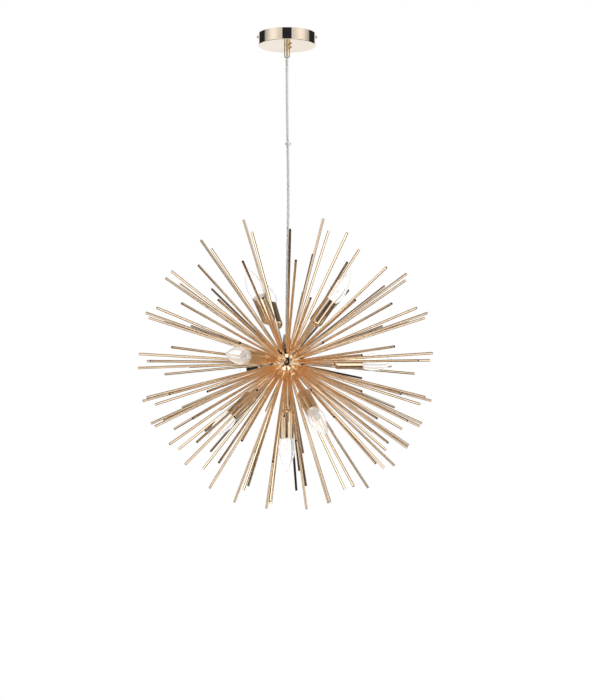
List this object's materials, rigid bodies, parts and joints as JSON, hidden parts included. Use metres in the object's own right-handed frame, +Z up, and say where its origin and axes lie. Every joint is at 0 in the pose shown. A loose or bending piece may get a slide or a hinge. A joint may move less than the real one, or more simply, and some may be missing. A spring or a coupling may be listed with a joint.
{
  "type": "starburst pendant chandelier",
  "caption": "Starburst pendant chandelier: ball hub packed with thin radial rods and candle lamps in gold cups, hung on a clear flex and steel wire from a round ceiling canopy.",
  "frame": {"origin": "centre of the ceiling bracket's top face, on the ceiling plane", "axes": "+Z up, away from the room; the light hangs along -Z; -Y is the front, +X to the right seen from the front, along the ceiling bracket"},
  "size_m": [0.6044, 0.6116, 0.9859],
  "materials": {
    "canopy_gold": "polished light gold plating",
    "hub_gold": "polished light gold plating",
    "screw_gold": "gold plated screw",
    "zinc_steel": "zinc plated",
    "white_plastic": "moulded",
    "core_insulation": "insulated cores",
    "clear_plastic": "clear moulded",
    "clear_flex": "clear PVC sheath",
    "steel_wire": "stranded steel wire",
    "rod_gold": "polished light gold plating",
    "arm_gold": "polished light gold plating",
    "cup_gold": "polished light gold plating",
    "clear_glass": "clear glass"
  },
  "bodies": {
    "ceiling_mount": {"ceiling_bracket": "zinc_steel", "terminal_block": "white_plastic", "earth_screw": "zinc_steel"},
    "canopy": {"canopy_cup": "canopy_gold", "grip_locknut": "zinc_steel", "cord_grip_barrel": "canopy_gold", "supply_cores": "core_insulation"},
    "side_screw_left": {"canopy_side_screw_left": "screw_gold"},
    "side_screw_right": {"canopy_side_screw_right": "screw_gold"},
    "thumb_screw": {"grip_thumb_screw": "screw_gold"},
    "cord_top": {"strain_relief_ring": "clear_plastic"},
    "suspension": {"supply_flex": "clear_flex", "support_wire": "steel_wire", "cord_tie": "clear_plastic"},
    "starburst": {"hub_gland": "hub_gold", "hub_lead_connector": "white_plastic", "rod_ring_crown": "rod_gold", "rod_ring_upper": "rod_gold", "rod_ring_shoulder": "rod_gold", "rod_ring_equator": "rod_gold", "rod_ring_waist": "rod_gold", "rod_ring_lower_a": "rod_gold", "rod_ring_lower_b": "rod_gold", "rod_ring_lower_c": "rod_gold", "rod_ring_bottom": "rod_gold", "lamp_arm_upper_1": "arm_gold", "socket_cup_upper_1": "cup_gold", "lamp_arm_upper_2": "arm_gold", "socket_cup_upper_2": "cup_gold", "lamp_arm_upper_3": "arm_gold", "socket_cup_upper_3": "cup_gold", "lamp_arm_middle_1": "arm_gold", "socket_cup_middle_1": "cup_gold", "lamp_arm_middle_2": "arm_gold", "socket_cup_middle_2": "cup_gold", "lamp_arm_middle_3": "arm_gold", "socket_cup_middle_3": "cup_gold", "lamp_arm_lower_1": "arm_gold", "socket_cup_lower_1": "cup_gold", "lamp_arm_lower_2": "arm_gold", "socket_cup_lower_2": "cup_gold", "lamp_arm_lower_3": "arm_gold", "socket_cup_lower_3": "cup_gold", "lamp_arm_bottom": "arm_gold", "socket_cup_bottom": "cup_gold"},
    "bulb_upper_1": {"candle_bulb_upper_1": "clear_glass"},
    "bulb_upper_2": {"candle_bulb_upper_2": "clear_glass"},
    "bulb_upper_3": {"candle_bulb_upper_3": "clear_glass"},
    "bulb_middle_1": {"candle_bulb_middle_1": "clear_glass"},
    "bulb_middle_2": {"candle_bulb_middle_2": "clear_glass"},
    "bulb_middle_3": {"candle_bulb_middle_3": "clear_glass"},
    "bulb_lower_1": {"candle_bulb_lower_1": "clear_glass"},
    "bulb_lower_2": {"candle_bulb_lower_2": "clear_glass"},
    "bulb_lower_3": {"candle_bulb_lower_3": "clear_glass"},
    "bulb_bottom": {"candle_bulb_bottom": "clear_glass"}
  },
  "joints": [
    {"name": "canopy_lower", "type": "slide", "parent": "ceiling_mount", "child": "canopy", "axis": [0, 0, -1], "range_m": [0, 0.06]},
    {"name": "side_screw_left_out", "type": "slide", "parent": "canopy", "child": "side_screw_left", "axis": [-1, 0, 0], "range_m": [0, 0.006]},
    {"name": "side_screw_right_out", "type": "slide", "parent": "canopy", "child": "side_screw_right", "axis": [1, 0, 0], "range_m": [0, 0.006]},
    {"name": "thumb_screw_out", "type": "slide", "parent": "canopy", "child": "thumb_screw", "axis": [0.7431, -0.6691, 0], "range_m": [0, 0.003]},
    {"name": "pendant_swing_front_back", "type": "hinge", "parent": "canopy", "child": "cord_top", "pos_m": [0, 0, -0.0455], "axis": [1, 0, 0], "range_deg": [-15, 15]},
    {"name": "pendant_swing_side", "type": "hinge", "parent": "cord_top", "child": "suspension", "pos_m": [0, 0, -0.0455], "axis": [0, 1, 0], "range_deg": [-15, 15]},
    {"name": "starburst_turn", "type": "hinge", "parent": "suspension", "child": "starburst", "pos_m": [0, 0, -0.63], "axis": [0, 0, 1], "range_deg": [-180, 180]},
    {"name": "bulb_upper_1_out", "type": "slide", "parent": "starburst", "child": "bulb_upper_1", "axis": [0.5821, -0.0818, 0.809], "range_m": [0, 0.034]},
    {"name": "bulb_upper_2_out", "type": "slide", "parent": "starburst", "child": "bulb_upper_2", "axis": [-0.2202, 0.545, 0.809], "range_m": [0, 0.034]},
    {"name": "bulb_upper_3_out", "type": "slide", "parent": "starburst", "child": "bulb_upper_3", "axis": [-0.3619, -0.4632, 0.809], "range_m": [0, 0.034]},
    {"name": "bulb_middle_1_out", "type": "slide", "parent": "starburst", "child": "bulb_middle_1", "axis": [0.9994, -0.0349, 0], "range_m": [0, 0.034]},
    {"name": "bulb_middle_2_out", "type": "slide", "parent": "starburst", "child": "bulb_middle_2", "axis": [-0.4695, 0.8829, 0], "range_m": [0, 0.034]},
    {"name": "bulb_middle_3_out", "type": "slide", "parent": "starburst", "child": "bulb_middle_3", "axis": [-0.5299, -0.848, 0], "range_m": [0, 0.034]},
    {"name": "bulb_lower_1_out", "type": "slide", "parent": "starburst", "child": "bulb_lower_1", "axis": [0.3377, -0.6351, -0.6947], "range_m": [0, 0.034]},
    {"name": "bulb_lower_2_out", "type": "slide", "parent": "starburst", "child": "bulb_lower_2", "axis": [0.3812, 0.61, -0.6947], "range_m": [0, 0.034]},
    {"name": "bulb_lower_3_out", "type": "slide", "parent": "starburst", "child": "bulb_lower_3", "axis": [-0.7189, 0.0251, -0.6947], "range_m": [0, 0.034]},
    {"name": "bulb_bottom_out", "type": "slide", "parent": "starburst", "child": "bulb_bottom", "axis": [0, 0, -1], "range_m": [0, 0.034]}
  ]
}
